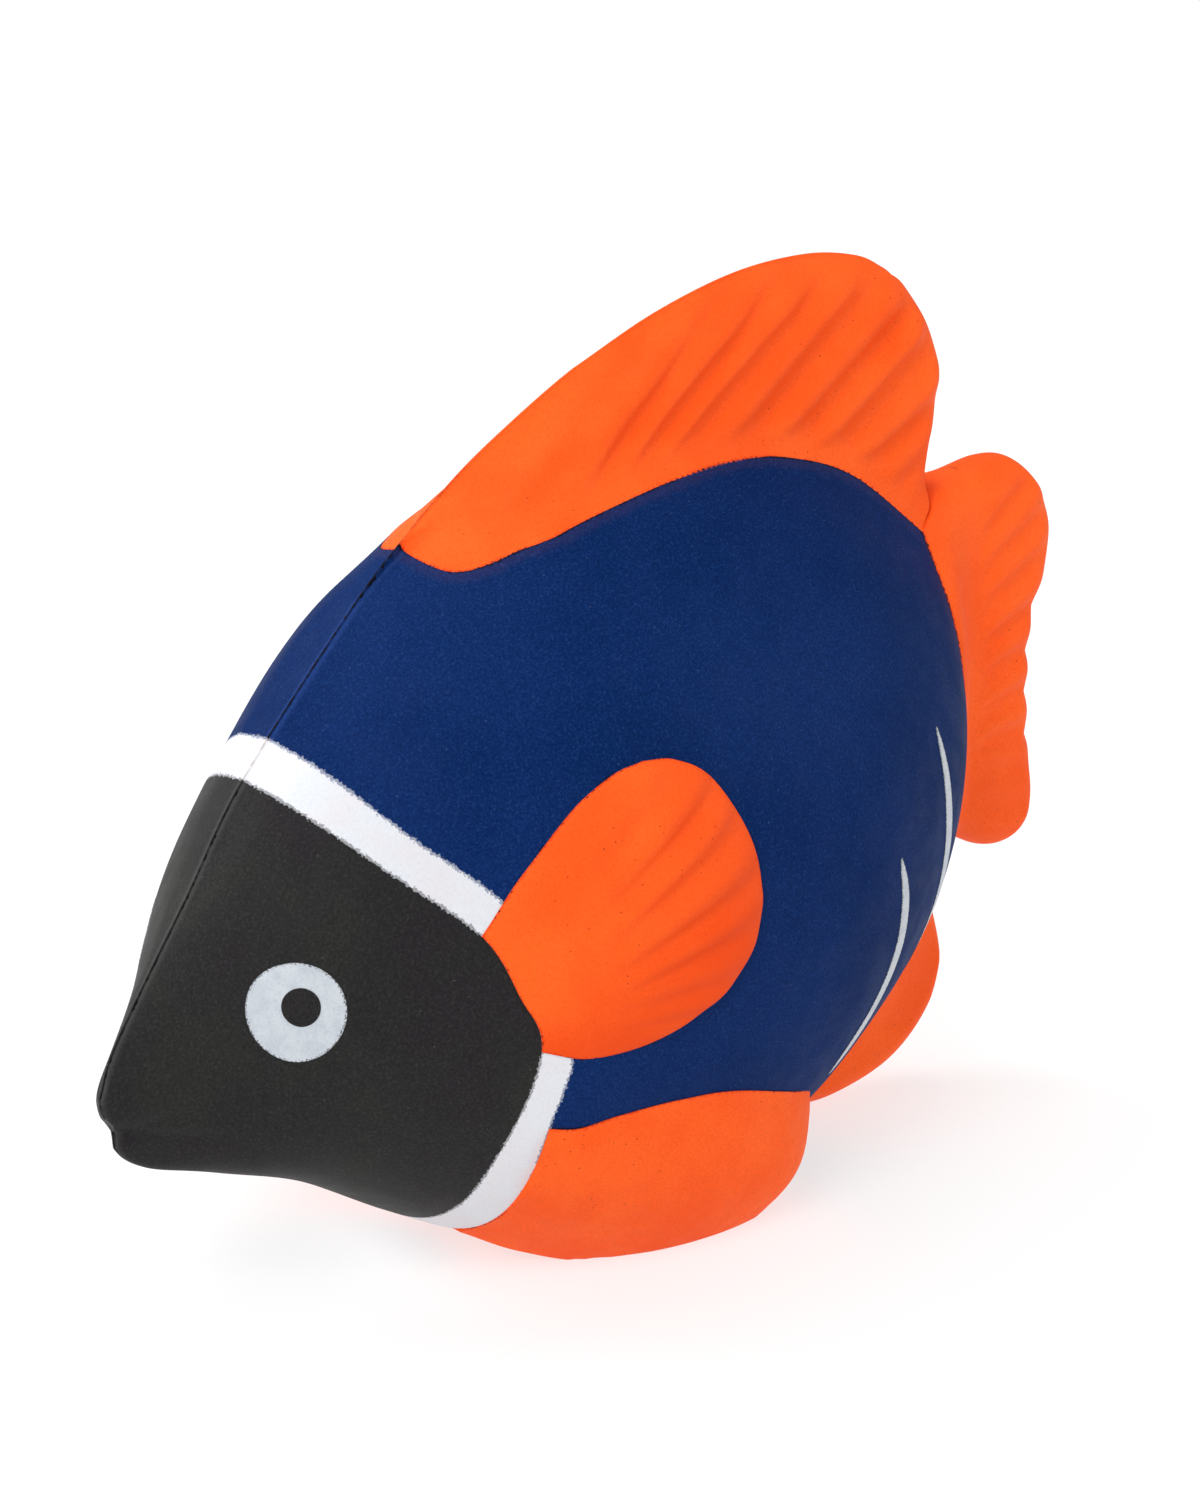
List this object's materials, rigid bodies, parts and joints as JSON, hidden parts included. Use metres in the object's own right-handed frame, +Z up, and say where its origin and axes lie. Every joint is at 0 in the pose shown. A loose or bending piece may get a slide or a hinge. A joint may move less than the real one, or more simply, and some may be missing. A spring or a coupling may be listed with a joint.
{
  "type": "fish squeeze toy",
  "caption": "Soft foam squeeze toy in the shape of a deep-bodied tropical fish, with painted bands, flexing dorsal and tail fins, and side fins that press in.",
  "frame": {"origin": "on the floor, under the middle of the toy's box", "axes": "+X from the snout towards the tail, +Y towards the fish's right flank, +Z up"},
  "size_m": [0.101, 0.0484, 0.0764],
  "materials": {
    "blue_foam": "satin dark blue paint on self-skinned soft foam",
    "black_foam": "satin black paint on self-skinned soft foam",
    "white_foam": "matt white paint on self-skinned soft foam",
    "orange_foam": "satin orange self-skinned soft foam with pinholes",
    "white_coat": "matt pale paint with soft edges",
    "black_coat": "matt black paint"
  },
  "bodies": {
    "trunk": {"body": "blue_foam", "head": "black_foam", "white_band": "white_foam", "dorsal_fin_root": "orange_foam", "tail_root": "orange_foam", "anal_fin": "orange_foam", "pelvic_fin_left": "orange_foam", "pelvic_fin_right": "orange_foam", "eye_left": "white_coat", "eye_right": "white_coat", "pupil_left": "black_coat", "pupil_right": "black_coat", "front_streak_left": "white_coat", "front_streak_right": "white_coat", "rear_streak_left": "white_coat", "rear_streak_right": "white_coat"},
    "dorsal": {"dorsal_fin": "orange_foam"},
    "tail": {"tail_fin": "orange_foam"},
    "left_fin": {"pectoral_fin_left": "orange_foam"},
    "right_fin": {"pectoral_fin_right": "orange_foam"}
  },
  "joints": [
    {"name": "tail_flex", "type": "hinge", "parent": "trunk", "child": "tail", "pos_m": [0.0395, 0, 0.037], "axis": [0, 0, 1], "range_deg": [-25, 25], "stiffness_Nm_per_rad": 0.02, "deforming": ["tail_root"]},
    {"name": "dorsal_flex", "type": "hinge", "parent": "trunk", "child": "dorsal", "pos_m": [0.01, 0, 0.064], "axis": [1, 0, 0], "range_deg": [-20, 20], "stiffness_Nm_per_rad": 0.02, "deforming": ["dorsal_fin_root"]},
    {"name": "squeeze_left", "type": "slide", "parent": "trunk", "child": "left_fin", "axis": [0, 1, 0], "range_m": [0, 0.006], "stiffness_N_per_m": 800, "deforming": ["body", "white_band"]},
    {"name": "squeeze_right", "type": "slide", "parent": "trunk", "child": "right_fin", "axis": [0, -1, 0], "range_m": [0, 0.006], "stiffness_N_per_m": 800, "deforming": ["body", "white_band"]}
  ],
  "couplings": [
    {"joint": "squeeze_right", "follows": "squeeze_left", "ratio": 1}
  ]
}
